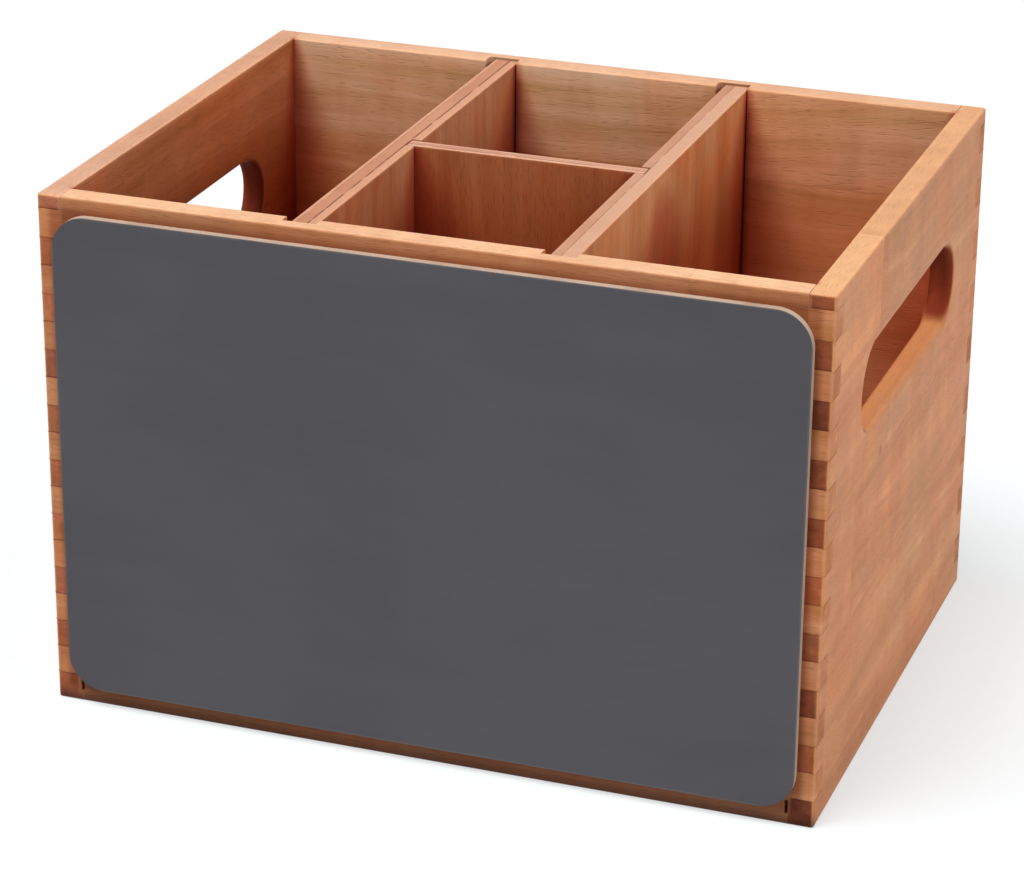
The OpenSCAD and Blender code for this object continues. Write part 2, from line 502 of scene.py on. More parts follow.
# %% Colour of sawn hardwood
WOOD_DARK = rgb(0.50, 0.180, 0.050)
WOOD_MIDDLE = rgb(0.61, 0.228, 0.083)
WOOD_PALE = rgb(0.71, 0.295, 0.120)
BLUSH = (rgb(1.05, 0.95, 0.86), rgb(0.97, 1.03, 1.07))
TONE = (rgb(0.92, 0.88, 0.84), rgb(1.05, 1.07, 1.08))
WARMTH = (rgb(1.02, 0.98, 0.92), rgb(0.99, 1.01, 1.05))
MOTTLE = (rgb(0.93, 0.90, 0.87), rgb(1.05, 1.07, 1.08))
STREAK = (rgb(0.93, 0.90, 0.88), rgb(1.04, 1.05, 1.06))
PORE_BROWN = rgb(0.50, 0.40, 0.33)
GLUE_BROWN = rgb(0.52, 0.42, 0.36)
# how much of a rim takes its paler colour, a painted highlight of the light from above
RIM_HIGHLIGHT_SHARE = 0.85
TONE_SHARE = 0.55
PORE_SHARE = 0.24
GLUE_SHARE = 0.15


def sawn_hardwood(place, stave, fibre, inner_half, faces, rim, rim_highlight_colour):
    """The colour of a board before any painted shade. faces are the tints of its outer and inner face,
    which differ partly as painted light and shade, and the rim colour is a painted highlight.
    """
    colour = blend(ramp(fibre["Figure"], 0.0, 0.55), WOOD_DARK, WOOD_MIDDLE)
    colour = blend(ramp(fibre["Figure"], 0.45, 1.0), colour, WOOD_PALE)
    colour = varied(colour, inner_half, faces)
    blush = noise(place, 17.0, detail=3.0, roughness=0.55)
    colour = varied(colour, ramp(blush, 0.35, 0.65), BLUSH)
    # the rims take a paler colour as a painted highlight
    colour = blend(times(rim, RIM_HIGHLIGHT_SHARE), colour, rim_highlight_colour)
    toned = plus(TONE_SHARE, times(rim, 1 - TONE_SHARE))
    colour = varied(colour, stave["Tone"], TONE, toned)
    colour = varied(colour, stave["Warmth"], WARMTH)
    colour = varied(colour, fibre["Mottle"], MOTTLE)
    colour = varied(colour, fibre["Streak"], STREAK)
    colour = tinted(colour, times(fibre["Pore"], PORE_SHARE), PORE_BROWN)
    return tinted(colour, times(stave["Glue Line"], GLUE_SHARE), GLUE_BROWN)

# %% Hardwood material
HANDLED = rgb(0.62, 0.248, 0.103)
# the hole's round ends: end grain, darkened further with painted shade
HOLE_END_GRAIN_SHADE = rgb(0.35, 0.135, 0.12)
SEAM_BROWN = rgb(0.50, 0.36, 0.32)
# painted shade on the walls of a slot
SLOT_SHADE = rgb(0.46, 0.43, 0.42)
# painted shade along the edge of the glued panel
PANEL_SHADE = rgb(0.62, 0.52, 0.50)
# painted shade along the front bottom edge
BASE_SHADE = rgb(0.29, 0.28, 0.42)
KNOT_BROWN = rgb(0.72, 0.50, 0.42)
# a paler worn edge, which also paints a highlight
WORN_EDGE_HIGHLIGHT = rgb(0.84, 0.44, 0.23)
# how wide the painted shade beside a neighbour grows on a board
BOARD_SHADE_REACH = 33 * MM
PANEL_FULL, PANEL_GONE = 0.3 * MM, 3.4 * MM
BASE_REACH = 6.5 * MM
KNOT_FULL, KNOT_GONE = 0.4 * MM, 2.6 * MM
STAVE_WIDTH = 44 * MM
HOLE_H = 28 * MM
HOLE_FULL, HOLE_GONE = HOLE_H / 2 + 1.2 * MM, HOLE_H / 2 + 3.2 * MM
FIBRE_JUMP = 9.0
LIP_SHARE = 0.55
SEAM_BESIDE, SEAM_AT_END = 0.15, 0.60
OILED_ROUGH, STREAK_ROUGH, END_ROUGH, HOLE_ROUGH = 0.40, 0.12, 0.20, 0.35


def hardwood(name, low, high, order, seed, stave_length, faces, rim_highlight_colour, ends, neighbours,
             loose=(), fingers=None, hole=None, knot=None):
    """Oiled hardwood for a board from low to high, with its grain along the first axis of order.

    faces tint its outer and inner face, partly as painted light and shade, ends its darkest
    and palest end grain, and fingers their long grain. The rim colour is a painted highlight.
    hole is the line through a handle hole, and knot the middle of a knot.
    """
    material, shader, place, direction = new_material(name)
    along = grain_place(place, order)
    stave = place_group(STAVES, Grain_Place=along, Stave_Width=STAVE_WIDTH,
                        Stave_Length=stave_length, Seed=seed)
    fibre_seed = plus(times(stave["Tone"], FIBRE_JUMP), seed)
    fibre = place_group(FIBRES, Grain_Place=along, Seed=fibre_seed)
    finger = place_group(FINGERS, Place=place, Finger_Height=FINGER_H,
                         Low=IN_LOW, High=IN_HIGH)
    end = facing(direction, order[0], low=0.86, high=0.985)
    rim_low = Vector((BOX_LOW.x, BOX_LOW.y, BOX_HIGH.z))
    at_rim = near(place, rim_low, BOX_HIGH, full_within=1.0 * MM, gone_beyond=2.0 * MM)
    rim = times(at_rim, facing(direction, "Z", low=0.5, high=0.9))
    inside = near(place, IN_LOW, IN_HIGH, full_within=0.3 * MM, gone_beyond=1.5 * MM)
    inner_half = near(place, IN_LOW, IN_HIGH, full_within=BOARD_T * 0.55, gone_beyond=BOARD_T * 0.80)

    colour = sawn_hardwood(place, stave, fibre, inner_half, faces, rim, rim_highlight_colour)
    rough = plus(OILED_ROUGH, times(fibre["Streak"], STREAK_ROUGH))
    if hole:
        in_hole = near(place, *hole, HOLE_FULL, HOLE_GONE)
        hole_end = times(in_hole, facing(direction, order[0], low=0.15, high=0.60))
        lip = times(minus(in_hole, hole_end), LIP_SHARE)
        colour = blend(lip, colour, HANDLED)
        # painted shade darkens the hole's round ends, on top of their end grain
        colour = tinted(colour, hole_end, HOLE_END_GRAIN_SHADE)
        end = times(end, opposite(in_hole))
        rough = plus(rough, times(hole_end, HOLE_ROUGH))
    if fingers:
        long_grain = times(finger["Corner"], opposite(end))
        colour = tinted(colour, long_grain, fingers)
    colour = varied(colour, finger["Tone"], ends, end)
    seam = times(finger["Seam"], opposite(rim))
    seam = times(seam, plus(SEAM_BESIDE, times(end, SEAM_AT_END)))
    colour = tinted(colour, seam, SEAM_BROWN)

    # painted shade in the bays: beside the neighbours and lower down
    colour = shade_inside(place, colour, inside, BOARD_SHADE_REACH, neighbours, loose)
    if loose:
        # painted shade on the slot walls
        slot = minus(inner_half, maths("MAXIMUM", inside, rim))
        slot = times(slot, nearest_of(place, loose, GAP_REACH))
        colour = tinted(colour, slot, SLOT_SHADE)
    # painted shade beside the glued panel
    beside_panel = near(place, *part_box("panel_core"), PANEL_FULL, PANEL_GONE)
    colour = tinted(colour, beside_panel, PANEL_SHADE)
    # painted shade along the front bottom edge, below the panel
    base_high = Vector((BOX_HIGH.x, BOX_LOW.y, BOX_LOW.z))
    base = near(place, BOX_LOW, base_high, 0.0, BASE_REACH)
    colour = tinted(colour, base, BASE_SHADE)
    if knot:
        speck = near(place, knot, knot, KNOT_FULL, KNOT_GONE)
        colour = tinted(colour, speck, KNOT_BROWN)
    # paler worn edges, partly a painted highlight
    pale_edge = times(wear_and_highlight_of(place, low, high, reach=1.6 * MM, share=0.30), opposite(base))
    colour = blend(pale_edge, colour, WORN_EDGE_HIGHLIGHT)

    rough = plus(rough, times(end, END_ROUGH))
    height = minus(fibre["Height"], seam)
    finish_shader(shader, colour, rough, height, specular=0.15, depth=0.12 * MM)
    return material

# %% [markdown]
# ## Plywood
# A divider is plywood: layers of veneer, glued with the grain turned each time.
# Its faces show one veneer, with the grain upright. Its sawn top shows all the
# layers as pale and brown strips with dark glue lines between. Depth says how
# far a point lies through the sheet, from 0 to 1, and picks the layer.

# %% Group: ply layers
LAYER_SOFT = 0.01
RAGGED = 0.05
FIRST_HALF, SECOND_HALF = 0.055, 0.035
SECOND_SHARE = 0.55


def glue_line(depth, glue, half_width):
    """1 where a depth lies in the glue at another, and 0 beyond half the line's width."""
    return opposite(ramp(maths("ABSOLUTE", minus(depth, glue)), half_width * 0.3, half_width))


PLY_LAYERS, given, out = new_group("ply_layers", ["Place"], ["Depth", "First Glue", "Second Glue"],
                                   ["Inner", "Glue"])
ragged = minus(noise(given["Place"], 260.0, detail=3.0, roughness=0.7), 0.5)
depth = plus(given["Depth"], times(ragged, RAGGED))
after_first = ramp(minus(depth, given["First Glue"]), -LAYER_SOFT, LAYER_SOFT)
before_second = ramp(minus(given["Second Glue"], depth), -LAYER_SOFT, LAYER_SOFT)
feed(out["Inner"], times(after_first, before_second))
first = glue_line(depth, given["First Glue"], FIRST_HALF)
second = times(glue_line(depth, given["Second Glue"], SECOND_HALF), SECOND_SHARE)
broken = ramp(noise(given["Place"], 140.0), 0.32, 0.52)
feed(out["Glue"], times(maths("MAXIMUM", first, second), broken))

# %% Plywood material
PLY_DARK = rgb(0.54, 0.175, 0.064)
PLY_MIDDLE = rgb(0.65, 0.245, 0.101)
PLY_PALE = rgb(0.72, 0.300, 0.138)
PLY_EDGE_PALE = rgb(0.68, 0.370, 0.245)
PLY_EDGE_BROWN = rgb(0.52, 0.235, 0.135)
PLY_GLUE = rgb(0.20, 0.060, 0.025)
PLY_TONE = (rgb(0.90, 0.85, 0.80), rgb(1.08, 1.12, 1.16))
PLY_BLOTCH = (rgb(1.05, 0.90, 0.82), rgb(0.98, 1.06, 1.12))
PLY_STREAK = (rgb(0.93, 0.91, 0.89), rgb(1.04, 1.05, 1.06))
PLY_PORE = rgb(0.50, 0.38, 0.32)
PLY_PORE_SHARE = 0.20
# how wide the painted shade beside a neighbour grows on a sheet
SHEET_SHADE_REACH = 76 * MM
VENEER_WIDTH = 63 * MM
VENEER_LENGTH = 900 * MM
PATCHES = 1.3
INNER_SHARE = 0.75
PLY_ROUGH, PLY_STREAK_ROUGH = 0.50, 0.14
GLUE_DEPTH = 0.9


def plywood(name, order, low, high, seed, first_glue, second_glue, face_tint, edge_tint,
            neighbours, loose=(), flip=False):
    """Plywood for a sheet from low to high. order is face grain, width, thickness.

    The glue lines are shares of the thickness from the low face, or from the high one with flip.
    """
    material, shader, place, direction = new_material(name)
    along = grain_place(place, order)
    veneer = place_group(STAVES, Grain_Place=along, Stave_Width=VENEER_WIDTH,
                         Stave_Length=VENEER_LENGTH, Seed=seed)
    fibre = place_group(FIBRES, Grain_Place=along, Seed=seed)
    through = "XYZ".index(order[2])
    start, stop = (high[through], low[through]) if flip else (low[through], high[through])
    depth = ramp(split_xyz(place)[through], start, stop, "LINEAR")
    layer = place_group(PLY_LAYERS, Place=place, Depth=depth,
                        First_Glue=first_glue, Second_Glue=second_glue)
    face_mask = facing(direction, order[2], low=0.6, high=0.85)
    sawn = opposite(face_mask)

    face = blend(ramp(fibre["Figure"], 0.05, 0.6), PLY_DARK, PLY_MIDDLE)
    face = blend(ramp(fibre["Figure"], 0.5, 1.0), face, PLY_PALE)
    face = tinted(face, 1.0, face_tint)
    face = varied(face, veneer["Tone"], PLY_TONE)
    blotch = ramp(noise(place, 34.0, detail=3.0, roughness=0.6), 0.35, 0.65)
    face = varied(face, blotch, PLY_BLOTCH)
    patchy = times(minus(noise(place, 42.0), 0.5), PATCHES)
    brown = plus(times(layer["Inner"], INNER_SHARE), patchy)
    edge = blend(brown, PLY_EDGE_PALE, PLY_EDGE_BROWN)
    edge = tinted(edge, 1.0, edge_tint)

    colour = blend(sawn, face, edge)
    colour = varied(colour, fibre["Streak"], PLY_STREAK)
    colour = tinted(colour, times(fibre["Pore"], PLY_PORE_SHARE), PLY_PORE)
    glue = times(layer["Glue"], sawn)
    colour = blend(glue, colour, PLY_GLUE)
    # painted shade on the faces in the bays
    colour = shade_inside(place, colour, face_mask, SHEET_SHADE_REACH, neighbours, loose)
    # paler worn edges, partly a painted highlight
    pale_edge = wear_and_highlight_of(place, low, high, reach=1.1 * MM, share=0.25)
    colour = blend(pale_edge, colour, WORN_EDGE_HIGHLIGHT)
    rough = plus(PLY_ROUGH, times(fibre["Streak"], PLY_STREAK_ROUGH))
    height = minus(fibre["Height"], times(glue, GLUE_DEPTH))
    finish_shader(shader, colour, rough, height, specular=0.3, depth=0.14 * MM)
    return material

# %% [markdown]
# ## Writing panel materials
# The front panel is a pale core board with a thin slate-grey writing sheet. A
# writing surface is dead matt, with a fine tooth that holds chalk. It is never
# one even grey: wiping leaves faint clouds, so its colour and its roughness vary
# together, by only a few parts in a hundred.

# %% Writing sheet and core materials
SLATE_DEEP = rgb(0.082, 0.077, 0.088)
SLATE_WIPED = rgb(0.106, 0.100, 0.112)
CORE_PALE = rgb(0.49, 0.37, 0.285)
CORE_BROWN = rgb(0.35, 0.225, 0.16)
SLATE_SPECKS = (rgb(0.90, 0.90, 0.90), rgb(1.10, 1.10, 1.10))
CORE_SPECKS = (rgb(0.82, 0.80, 0.78), rgb(1.12, 1.12, 1.12))
SWIPES = (14.0, 14.0, 75.0)
CLOUD_SHARE = 0.7
SLATE_ROUGH, WIPED_ROUGH = 0.62, 0.2
CORE_ROUGH, FLUFF_ROUGH = 0.7, 0.15


def writing_sheet(name, low, high):
    """Matt slate grey with wiped clouds, fine tooth and a rubbed rim."""
    material, shader, place, _ = new_material(name)
    clouds = noise(place, 9.0, detail=5.0, roughness=0.55, distortion=0.4)
    swipes = noise(place, SWIPES, detail=3.0, roughness=0.6)
    tooth = noise(place, 2600.0, detail=1.0)
    wiped = plus(times(clouds, CLOUD_SHARE), times(swipes, 1 - CLOUD_SHARE))
    colour = blend(ramp(wiped, 0.35, 0.65, "LINEAR"), SLATE_DEEP, SLATE_WIPED)
    colour = varied(colour, tooth, SLATE_SPECKS)
    pale_edge = wear_and_highlight_of(place, low, high, reach=0.7 * MM, share=0.15)
    colour = blend(pale_edge, colour, CORE_PALE)
    rough = plus(SLATE_ROUGH, times(wiped, WIPED_ROUGH))
    finish_shader(shader, colour, rough, tooth, specular=0.3, depth=0.03 * MM)
    return material


def panel_core(name):
    """The sawn edge of a pale fibre board."""
    material, shader, place, _ = new_material(name)
    fluff = noise(place, 900.0, detail=3.0, roughness=0.7)
    colour = blend(ramp(noise(place, 40.0), 0.45, 0.8), CORE_PALE, CORE_BROWN)
    colour = varied(colour, fluff, CORE_SPECKS)
    rough = plus(CORE_ROUGH, times(fluff, FLUFF_ROUGH))
    finish_shader(shader, colour, rough, fluff, specular=0.25, depth=0.05 * MM)
    return material

# %% [markdown]
# ## Modelling helpers
# Everything here starts as a cube that fills a box, as a maker starts from a
# sawn blank. Boolean modifiers cut grooves, and a Bevel modifier whose width
# comes from each edge's own weight eases the edges: a joint's edges stay nearly
# sharp, and a handle hole gets a full round-over from the same modifier.

# %% Blanks and cuts
def make_active(piece):
    """Selects one piece alone, because operators act on all that is selected."""
    bpy.ops.object.select_all(action="DESELECT")
    piece.select_set(True)
    bpy.context.view_layer.objects.active = piece


def blank(name, corner, other):
    """A cube stretched between two opposite corners of a box, with its place in its mesh."""
    pairs = list(zip(corner, other))
    low, high = Vector(map(min, pairs)), Vector(map(max, pairs))
    bpy.ops.mesh.primitive_cube_add(size=1.0, location=(low + high) / 2)
    piece = bpy.context.active_object
    piece.name = name
    piece.data.name = name
    piece.scale = high - low
    bpy.ops.object.transform_apply()
    return piece


def apply_modifier(piece, modifier):
    """Makes a modifier's result the piece's real mesh."""
    make_active(piece)
    bpy.ops.object.modifier_apply(modifier=modifier.name)


def subtract(piece, cutter):
    """Cuts one mesh out of another and throws the cutter away."""
    cut = piece.modifiers.new("cut", "BOOLEAN")
    cut.operation = "DIFFERENCE"
    cut.solver = "EXACT"
    cut.object = cutter
    apply_modifier(piece, cut)
    bpy.data.objects.remove(cutter, do_unlink=True)


def cut_box(piece, corner, other):
    """Cuts a box-shaped groove or slot."""
    subtract(piece, blank("cutter", corner, other))

# %% Scoring and selecting in edit mode
def score(place, direction):
    """Draws a line of edges round an edited mesh where a plane crosses it."""
    bpy.ops.mesh.select_all(action="SELECT")
    bpy.ops.mesh.bisect(plane_co=place, plane_no=direction)


def select_where(piece, kind, test):
    """Selects just those vertices, edges or faces of an edited mesh that pass a test."""
    bpy.ops.mesh.select_mode(type=kind)
    bpy.ops.mesh.select_all(action="DESELECT")
    work = bmesh.from_edit_mesh(piece.data)
    for part in {"VERT": work.verts, "EDGE": work.edges, "FACE": work.faces}[kind]:
        part.select_set(test(part))
    work.select_flush_mode()
    bmesh.update_edit_mesh(piece.data)

# %% Edge rounding by weight
SHARP = math.radians(25)


def ease_edges(piece, width, segments):
    """Rounds every sharp edge. width is in metres, or a function that gives it for each edge."""
    mesh = piece.data
    work = bmesh.new()
    work.from_mesh(mesh)
    widths = {}
    for edge in work.edges:
        if len(edge.link_faces) == 2 and edge.calc_face_angle() > SHARP:
            widths[edge.index] = width(edge) if callable(width) else width
    work.free()
    widest = max(widths.values())
    weights = mesh.attributes.new("bevel_weight_edge", "FLOAT", "EDGE")
    for index, own_width in widths.items():
        weights.data[index].value = own_width / widest
    make_active(piece)
    bpy.ops.object.shade_smooth_by_angle(angle=SHARP)
    bevel = piece.modifiers.new("eased", "BEVEL")
    bevel.limit_method = "WEIGHT"
    bevel.width = widest
    bevel.segments = segments
    bevel.use_clamp_overlap = False
    bevel.harden_normals = True
    apply_modifier(piece, bevel)
    mesh.attributes.remove(mesh.attributes["bevel_weight_edge"])
    print(piece.name, "has", len(widths), "eased edges and", len(piece.data.polygons), "faces")

# %% Where an edge lies
CLOSE = 0.02 * MM


def edge_middle(edge):
    """The middle point of a bmesh edge."""
    return (edge.verts[0].co + edge.verts[1].co) / 2


def runs_along(edge, axis):
    """Whether an edge runs along the axis 0, 1 or 2."""
    way = edge.verts[1].co - edge.verts[0].co
    return abs(way[axis]) > 0.99 * way.length


def is_one_of(place, *places):
    """Whether a coordinate agrees with any of some others."""
    return any(abs(place - other) < CLOSE for other in places)


def on_outline(point, low, high):
    """Whether a point, seen from above, lies on the rectangle from low to high."""
    in_x = low.x - CLOSE < point.x < high.x + CLOSE
    in_y = low.y - CLOSE < point.y < high.y + CLOSE
    return in_x and in_y and (is_one_of(point.x, low.x, high.x) or is_one_of(point.y, low.y, high.y))

# %% [markdown]
# ## Finger-jointed boards
# A finger joint is a row of equal tongues at a board's end that fill the gaps
# between the tongues of its neighbour. It could be cut with booleans, but it is
# easier to grow: score the board into rows, select every other end face, and
# extrude those faces by one board thickness. The lowest finger belongs to the
# side board, and a half finger of the side board closes the joint at the rim.

# %% Grow the fingers
def grow_fingers(piece, axis, first_row):
    """Pulls every other row of the two end faces out by one board thickness."""
    make_active(piece)
    bpy.ops.object.mode_set(mode="EDIT")
    for row in range(1, math.ceil(ROWS)):
        score((0, 0, row * FINGER_H), (0, 0, 1))
    for side in (-1, 1):

        def is_finger_end(face):
            row = math.floor(face.calc_center_median().z / FINGER_H)
            return face.normal[axis] * side > 0.9 and row % 2 == first_row

        select_where(piece, "FACE", is_finger_end)
        way = [0.0, 0.0, 0.0]
        way[axis] = side * BOARD_T
        bpy.ops.mesh.extrude_region_move(TRANSFORM_OT_translate={"value": way})
    bpy.ops.mesh.select_all(action="SELECT")
    bpy.ops.mesh.dissolve_limited(angle_limit=math.radians(1))
    bpy.ops.object.mode_set(mode="OBJECT")

# %% [markdown]
# ## Front and back boards
# Between its fingers each of these boards has two upright slots for the long
# dividers and a groove for the bottom. The slots are open at the rim, so their
# mouths show. The groove runs out past the board's end and leaves a small slit
# beside the lowest finger.

# %% Front and back boards
SLOT_W = 11.2 * MM
SLOT_D = 4.2 * MM
SLOT_X = 42.5 * MM
RUN_OUT_W = 1.1 * MM
PAST = 1.0 * MM
CORNER_ROUND = 1.2 * MM
RIM_ROUND = 0.9 * MM
JOINT_ROUND = 0.12 * MM
SLOT_ROUND = 0.3 * MM


def board_edge_width(edge):
    """The rounding of a board's edge: upright corners most, rims less, joints least."""
    middle = edge_middle(edge)
    at_side = is_one_of(abs(middle.x), BOX_HIGH.x)
    at_end = is_one_of(middle.y, BOX_LOW.y, BOX_HIGH.y)
    if runs_along(edge, 2) and at_side and at_end:
        return CORNER_ROUND
    at_rim = is_one_of(middle.z, BOX_LOW.z, BOX_HIGH.z)
    if at_rim and (on_outline(middle, BOX_LOW, BOX_HIGH) or on_outline(middle, IN_LOW, IN_HIGH)):
        return RIM_ROUND
    return SLOT_ROUND if abs(middle.x) < IN_HIGH.x - PAST else JOINT_ROUND


def end_board(name, outer_y, inner_y):
    """A front or back board between its outer and inner face."""
    inwards = 1 if inner_y > outer_y else -1
    board = blank(name, (IN_LOW.x, outer_y, BOX_LOW.z), (IN_HIGH.x, inner_y, BOX_HIGH.z))
    grow_fingers(board, axis=0, first_row=1)
    seat = inner_y - inwards * SLOT_D
    past = inner_y + inwards * PAST
    outside = outer_y - inwards * PAST
    cut_box(board, (IN_LOW.x - PAST, seat, bottom_low.z), (IN_HIGH.x + PAST, past, bottom_high.z))
    for x in (-SLOT_X, SLOT_X):
        cut_box(board, (x - SLOT_W / 2, seat, bottom_high.z - PAST),
                (x + SLOT_W / 2, past, BOX_HIGH.z + PAST))
    for end_x, outwards in ((IN_LOW.x, -1), (IN_HIGH.x, 1)):
        cut_box(board, (end_x + outwards * PAST, outside, bottom_low.z),
                (end_x - outwards * RUN_OUT_W, past, bottom_high.z))
    ease_edges(board, board_edge_width, segments=3)
    return board


front_board = end_board("front_board_wood", BOX_LOW.y, IN_LOW.y)
back_board = end_board("back_board_wood", BOX_HIGH.y, IN_HIGH.y)

# %% [markdown]
# ## Side boards
# The handle hole is a cylinder pulled apart: its front half moves forwards and
# its back half backwards, which leaves two half-round ends and flat stretches
# between. The vertex count is even but not a multiple of four, so that no vertex
# lies where the cylinder comes apart. Scored lines keep the faces round the hole
# simple, so that its wide bevel comes out clean.

# %% Side boards with their handle holes
HOLE_L = 119 * MM
HOLE_DROP = 48 * MM
HOLE_ROUND = 2.8 * MM
HOLE_SIDES = 66
HOLE_Z = BOX_HIGH.z - HOLE_DROP
HOLE_STRAIGHT = HOLE_L - HOLE_H
HOLE_LINE = [Vector((x, BOX_MIDDLE_Y + side * HOLE_STRAIGHT / 2, HOLE_Z))
             for x, side in ((BOX_LOW.x, -1), (BOX_HIGH.x, 1))]


def hole_cutter(x):
    """A long round-ended bar along X, through the middle of a side board."""
    bpy.ops.mesh.primitive_cylinder_add(
        vertices=HOLE_SIDES, radius=HOLE_H / 2, depth=4 * BOARD_T,
        location=(x, BOX_MIDDLE_Y, HOLE_Z), rotation=(0, math.pi / 2, 0),
    )
    cutter = bpy.context.active_object
    bpy.ops.object.transform_apply()
    bpy.ops.object.mode_set(mode="EDIT")
    for side in (-1, 1):
        select_where(cutter, "VERT", lambda vertex: (vertex.co.y - BOX_MIDDLE_Y) * side > 0)
        bpy.ops.transform.translate(value=(0, side * HOLE_STRAIGHT / 2, 0))
    bpy.ops.object.mode_set(mode="OBJECT")
    return cutter


def side_edge_width(edge):
    """As on any board, but with a full round-over on the handle hole."""
    middle = edge_middle(edge)
    near_hole = abs(middle.z - HOLE_Z) < HOLE_H * 0.6 and abs(middle.y - BOX_MIDDLE_Y) < HOLE_L * 0.55
    return HOLE_ROUND if near_hole else board_edge_width(edge)


def side_board(name, outer_x, inner_x):
    """A side board between its outer and inner face."""
    outwards = 1 if outer_x > inner_x else -1
    board = blank(name, (outer_x, IN_LOW.y, BOX_LOW.z), (inner_x, IN_HIGH.y, BOX_HIGH.z))
    grow_fingers(board, axis=1, first_row=0)
    bpy.ops.object.mode_set(mode="EDIT")
    for y in (IN_LOW.y, IN_HIGH.y):
        score((0, y, 0), (0, 1, 0))
    score((0, 0, HOLE_Z), (0, 0, 1))
    bpy.ops.object.mode_set(mode="OBJECT")
    cut_box(board, (inner_x + outwards * SLOT_D, IN_LOW.y - SLOT_D, bottom_low.z),
            (inner_x - outwards * PAST, IN_HIGH.y + SLOT_D, bottom_high.z))
    subtract(board, hole_cutter((outer_x + inner_x) / 2))
    ease_edges(board, side_edge_width, segments=5)
    return board


right_board = side_board("right_side_board_wood", BOX_HIGH.x, IN_HIGH.x)
left_board = side_board("left_side_board_wood", BOX_LOW.x, IN_LOW.x)

# %% [markdown]
# ## Bottom and dividers
# These are plain sheets with a groove or two. Their sizes come straight from
# the frame. Only the edges need care: sawn plywood is never dead sharp.

# %% Bottom panel and dividers
PLY_ROUND = 0.35 * MM
CROSS_SLOT_D = 3.2 * MM
CROSS_SLOT_W = 7.0 * MM
CROSS_FIT = 0.3 * MM
cross_low, cross_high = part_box("cross_divider")
cross_slot_front = cross_low.y - CROSS_FIT


def long_divider(node, groove_side):
    """A divider that runs front to back, grooved on the side that faces the middle."""
    low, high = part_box(node)
    sheet = blank(node + "_ply", low, high)
    face_x = high.x if groove_side > 0 else low.x
    cut_box(sheet, (face_x - groove_side * CROSS_SLOT_D, cross_slot_front, low.z - PAST),
            (face_x + groove_side * PAST, cross_slot_front + CROSS_SLOT_W, high.z + PAST))
    ease_edges(sheet, PLY_ROUND, segments=2)
    return sheet


left_divider = long_divider("left_divider", groove_side=1)
right_divider = long_divider("right_divider", groove_side=-1)
cross_divider = blank("cross_divider_ply", cross_low, cross_high)
ease_edges(cross_divider, PLY_ROUND, segments=2)
bottom = blank("bottom_ply", bottom_low, bottom_high)
ease_edges(bottom, PLY_ROUND, segments=2)

# %% [markdown]
# ## Writing panel
# A cube becomes a round-cornered plate when the Bevel operator rounds the four
# edges that run through its thickness. The same function makes the core and the
# sheet, so that their outlines agree.

# %% Panel plates
PANEL_ROUND = 12 * MM
PANEL_SEGMENTS = 16
PLATE_ROUND = 0.15 * MM


def round_cornered_plate(name, node):
    """A plate in the XZ plane whose four corners are rounded in edit mode."""
    plate = blank(name, *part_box(node))
    bpy.ops.object.mode_set(mode="EDIT")
    select_where(plate, "EDGE", lambda edge: runs_along(edge, 1))
    bpy.ops.mesh.bevel(offset=PANEL_ROUND, segments=PANEL_SEGMENTS, affect="EDGES")
    bpy.ops.object.mode_set(mode="OBJECT")
    ease_edges(plate, PLATE_ROUND, segments=2)
    return plate


core_plate = round_cornered_plate("writing_panel_core", "panel_core")
sheet_plate = round_cornered_plate("writing_panel_sheet", "panel_writing_sheet")

# %% [markdown]
# ## Dressing the boards
# Each piece stands for its CAD node and rides on that node's body. The order says
# which way the board was sawn: along, across, through. Each board has its own
# tints, and those of its inner and outer face differ partly as painted light and
# shade.

# %% Hardwood boards
def dress(piece, node, body, material):
    """Gives a piece its material and ties it to the node that it stands for."""
    piece.data.materials.clear()
    piece.data.materials.append(material)
    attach(piece, body)
    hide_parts(node)
    print(piece.name, "rides on", body, "with", len(material.node_tree.nodes), "material nodes")


OUTER = rgb(1.09, 1.13, 1.14)
RIGHT_KNOT = Vector((BOX_HIGH.x, -32 * MM, 103 * MM))
side_boards = ["left_side_board", "right_side_board"]
end_boards = ["front_board", "back_board"]
long_dividers = ["left_divider", "right_divider"]
end_look = dict(order="XZY", stave_length=310 * MM, loose=long_dividers,
                neighbours=side_boards + long_dividers)
side_look = dict(order="YZX", stave_length=290 * MM, neighbours=end_boards, hole=HOLE_LINE)
# The inner-face tints paint light and shade: darker on the left board's inner face, which stands in
# shade, and much paler on the back board's, lifting it against the painted shade of the bays. The rim
# colours are painted highlights, palest on the front rim.
board_looks = [
    (front_board, "front_board", "box_hardwood", end_look, dict(
        seed=1.37, faces=(rgb(0.76, 0.79, 0.92), rgb(0.90, 0.95, 0.80)), fingers=rgb(1.40, 1.45, 1.52),
        rim_highlight_colour=rgb(0.80, 0.475, 0.285), ends=(rgb(1.15, 1.10, 1.17), rgb(1.43, 1.47, 1.61)))),
    (back_board, "back_board", "box_hardwood", end_look, dict(
        seed=4.71, faces=(OUTER, rgb(1.29, 1.90, 2.90)),
        rim_highlight_colour=rgb(0.67, 0.375, 0.225), ends=(rgb(0.80, 0.76, 0.86), rgb(1.00, 1.02, 1.20)))),
    (left_board, "left_side_board", "side_hardwood", side_look, dict(
        seed=7.23, faces=(OUTER, rgb(0.82, 0.72, 0.80)),
        rim_highlight_colour=rgb(0.61, 0.345, 0.225), ends=(rgb(0.60, 0.49, 0.72), rgb(0.97, 0.85, 1.07)))),
    (right_board, "right_side_board", "side_hardwood", side_look, dict(
        seed=9.69, faces=(OUTER, OUTER), knot=RIGHT_KNOT,
        rim_highlight_colour=rgb(0.68, 0.375, 0.19), ends=(rgb(0.30, 0.20, 0.26), rgb(0.66, 0.46, 0.46)))),
]
